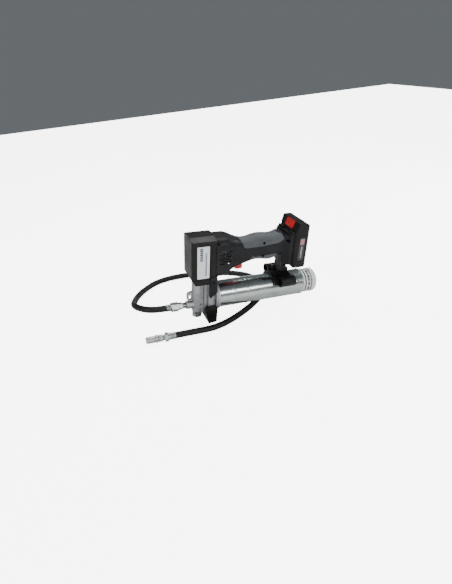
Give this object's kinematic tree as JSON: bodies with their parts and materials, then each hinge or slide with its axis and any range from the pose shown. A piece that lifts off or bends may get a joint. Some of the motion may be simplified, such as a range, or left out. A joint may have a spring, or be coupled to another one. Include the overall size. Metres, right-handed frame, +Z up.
{
  "type": "grease gun",
  "caption": "Battery grease gun on its foot: steel barrel, cast pump head, gear case, pistol-style grip, slide-on battery and a looped hose with a jawed coupler.",
  "frame": {"origin": "middle of the foot's flat sole, on the standing plane", "axes": "+X towards the rear along the standing plane, +Z up, +Y towards the gun's far side"},
  "size_m": [0.4118, 0.2564, 0.199],
  "materials": {
    "black_plastic": "moulded, fine texture",
    "grey_rubber": "soft overmould",
    "pack_plastic": "moulded, satin",
    "red_plastic": "moulded",
    "cast_aluminium": "die cast, bead blasted",
    "zinc_steel": "zinc plated",
    "bright_steel": "nickel plated",
    "plain_steel": "turned",
    "gear_steel": "hardened",
    "copper_stack": "laminated and varnished",
    "printed_label": "laminated print",
    "cartridge_white": "blow moulded",
    "band_print": "printed",
    "hose_rubber": "wrapped hose",
    "seal_rubber": "moulded",
    "nylon": "moulded",
    "cell_wrap": "shrink sleeve",
    "bronze": "sintered"
  },
  "bodies": {
    "gun": {"barrel_gasket": "seal_rubber", "pump_head": "cast_aluminium", "pump_plug": "zinc_steel", "valve_spring": "plain_steel", "outlet_adapter": "zinc_steel", "adapter_nut": "zinc_steel", "hose_nut": "zinc_steel", "ferrule_front": "zinc_steel", "foot": "black_plastic", "foot_screw": "plain_steel", "gearbox_cover": "black_plastic", "label_plate": "printed_label", "housing_near": "black_plastic", "housing_far": "black_plastic", "housing_screws": "plain_steel", "grip_pad_near": "grey_rubber", "grip_pad_far": "grey_rubber", "lower_pad_near": "grey_rubber", "lower_pad_far": "grey_rubber", "trigger_pin": "plain_steel", "trigger_spring": "plain_steel", "switch_body": "nylon", "motor_can": "zinc_steel", "motor_bearings": "bronze", "ring_gear": "gear_steel", "gear_frame": "cast_aluminium", "crank_bearing": "plain_steel", "plunger_gland": "bronze", "terminal_block": "nylon", "hose_bracket": "black_plastic", "bracket_screw": "plain_steel", "ferrule_rear": "zinc_steel", "coupler_nut": "zinc_steel", "coupler_body": "plain_steel", "coupler_jaws": "gear_steel", "coupler_sleeve": "plain_steel", "hose": "hose_rubber"},
    "rotor": {"rotor": "copper_stack", "motor_fan": "nylon", "sun_gear": "gear_steel"},
    "carrier": {"planet_carrier": "gear_steel"},
    "planet_a": {"planet_1": "gear_steel"},
    "planet_b": {"planet_2": "gear_steel"},
    "planet_c": {"planet_3": "gear_steel"},
    "plunger": {"plunger": "bright_steel"},
    "trigger": {"trigger": "red_plastic"},
    "battery": {"battery_front": "pack_plastic", "battery_rear": "pack_plastic", "battery_cells": "cell_wrap", "battery_label": "printed_label", "button_spring": "plain_steel"},
    "release": {"release_button": "red_plastic"},
    "barrel": {"barrel_tube": "zinc_steel"},
    "cartridge": {"cartridge_shell": "cartridge_white", "cartridge_band": "band_print", "cartridge_end_cap": "cartridge_white"},
    "follower": {"follower": "nylon"},
    "ball": {"valve_ball": "bright_steel"}
  },
  "joints": [
    {"name": "motor_spin", "type": "hinge", "parent": "gun", "child": "rotor", "pos_m": [0.03158, 0, 0.14802], "axis": [0.9931, 0, -0.1173], "continuous": true},
    {"name": "carrier_spin", "type": "hinge", "parent": "gun", "child": "carrier", "pos_m": [-0.0002, 0, 0.15177], "axis": [0.9931, 0, -0.1173], "continuous": true},
    {"name": "planet_a_spin", "type": "hinge", "parent": "carrier", "child": "planet_a", "pos_m": [0.00874, 0.0135, 0.15071], "axis": [0.9931, 0, -0.1173], "continuous": true},
    {"name": "planet_b_spin", "type": "hinge", "parent": "carrier", "child": "planet_b", "pos_m": [0.01011, -0.00675, 0.16233], "axis": [0.9931, 0, -0.1173], "continuous": true},
    {"name": "planet_c_spin", "type": "hinge", "parent": "carrier", "child": "planet_c", "pos_m": [0.00737, -0.00675, 0.13911], "axis": [0.9931, 0, -0.1173], "continuous": true},
    {"name": "plunger_stroke", "type": "slide", "parent": "gun", "child": "plunger", "axis": [0.1173, 0, 0.9931], "range_m": [-0.008, 0.008]},
    {"name": "trigger_squeeze", "type": "hinge", "parent": "gun", "child": "trigger", "pos_m": [0.05955, 0, 0.12055], "axis": [0, -1, 0], "range_deg": [0, 9], "stiffness_Nm_per_rad": 0.4, "springref_deg": -8.59, "deforming": ["trigger_spring"]},
    {"name": "battery_slide", "type": "slide", "parent": "gun", "child": "battery", "axis": [0.1173, 0, 0.9931], "range_m": [0, 0.095]},
    {"name": "release_press", "type": "slide", "parent": "battery", "child": "release", "axis": [0.9008, 0, -0.4342], "range_m": [0, 0.0025], "stiffness_N_per_m": 900, "springref_m": -0.001, "deforming": ["button_spring"]},
    {"name": "barrel_pull", "type": "slide", "parent": "gun", "child": "barrel", "axis": [0.9931, 0, -0.1173], "range_m": [0, 0.24]},
    {"name": "cartridge_turn", "type": "hinge", "parent": "barrel", "child": "cartridge", "pos_m": [0.11975, 0, 0.04194], "axis": [0.9931, 0, -0.1173], "range_deg": [-180, 180]},
    {"name": "follower_travel", "type": "slide", "parent": "cartridge", "child": "follower", "axis": [-0.9931, 0, 0.1173], "range_m": [0, 0.185]},
    {"name": "ball_lift", "type": "slide", "parent": "gun", "child": "ball", "axis": [-0.9931, 0, 0.1173], "range_m": [0, 0.0015], "stiffness_N_per_m": 150, "springref_m": -0.001}
  ],
  "couplings": [
    {"joint": "carrier_spin", "follows": "motor_spin", "ratio": 0.2},
    {"joint": "planet_a_spin", "follows": "motor_spin", "ratio": -0.53333},
    {"joint": "planet_b_spin", "follows": "motor_spin", "ratio": -0.53333},
    {"joint": "planet_c_spin", "follows": "motor_spin", "ratio": -0.53333}
  ]
}
